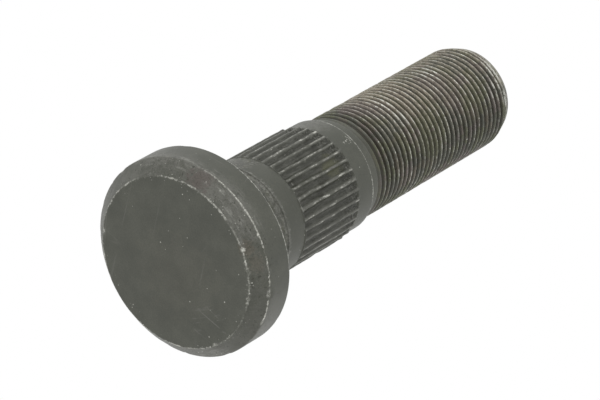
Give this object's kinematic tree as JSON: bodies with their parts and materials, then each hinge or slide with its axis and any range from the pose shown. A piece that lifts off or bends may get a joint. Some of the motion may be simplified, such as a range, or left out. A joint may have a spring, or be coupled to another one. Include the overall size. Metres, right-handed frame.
{
  "type": "wheel stud",
  "caption": "Heavy wheel stud with a bevelled round head, a serrated press-fit shank, a plain collar and a long fine thread.",
  "frame": {"origin": "centre of the head's outer face, on which the stud stands", "axes": "+Z along the stud's axis, from the head's outer face to the tip of the thread"},
  "size_m": [0.0398, 0.0398, 0.098],
  "materials": {
    "steel": "satin, phosphated and oiled steel with worn edges"
  },
  "bodies": {
    "root": {"wheel_stud": "steel"}
  },
  "joints": []
}
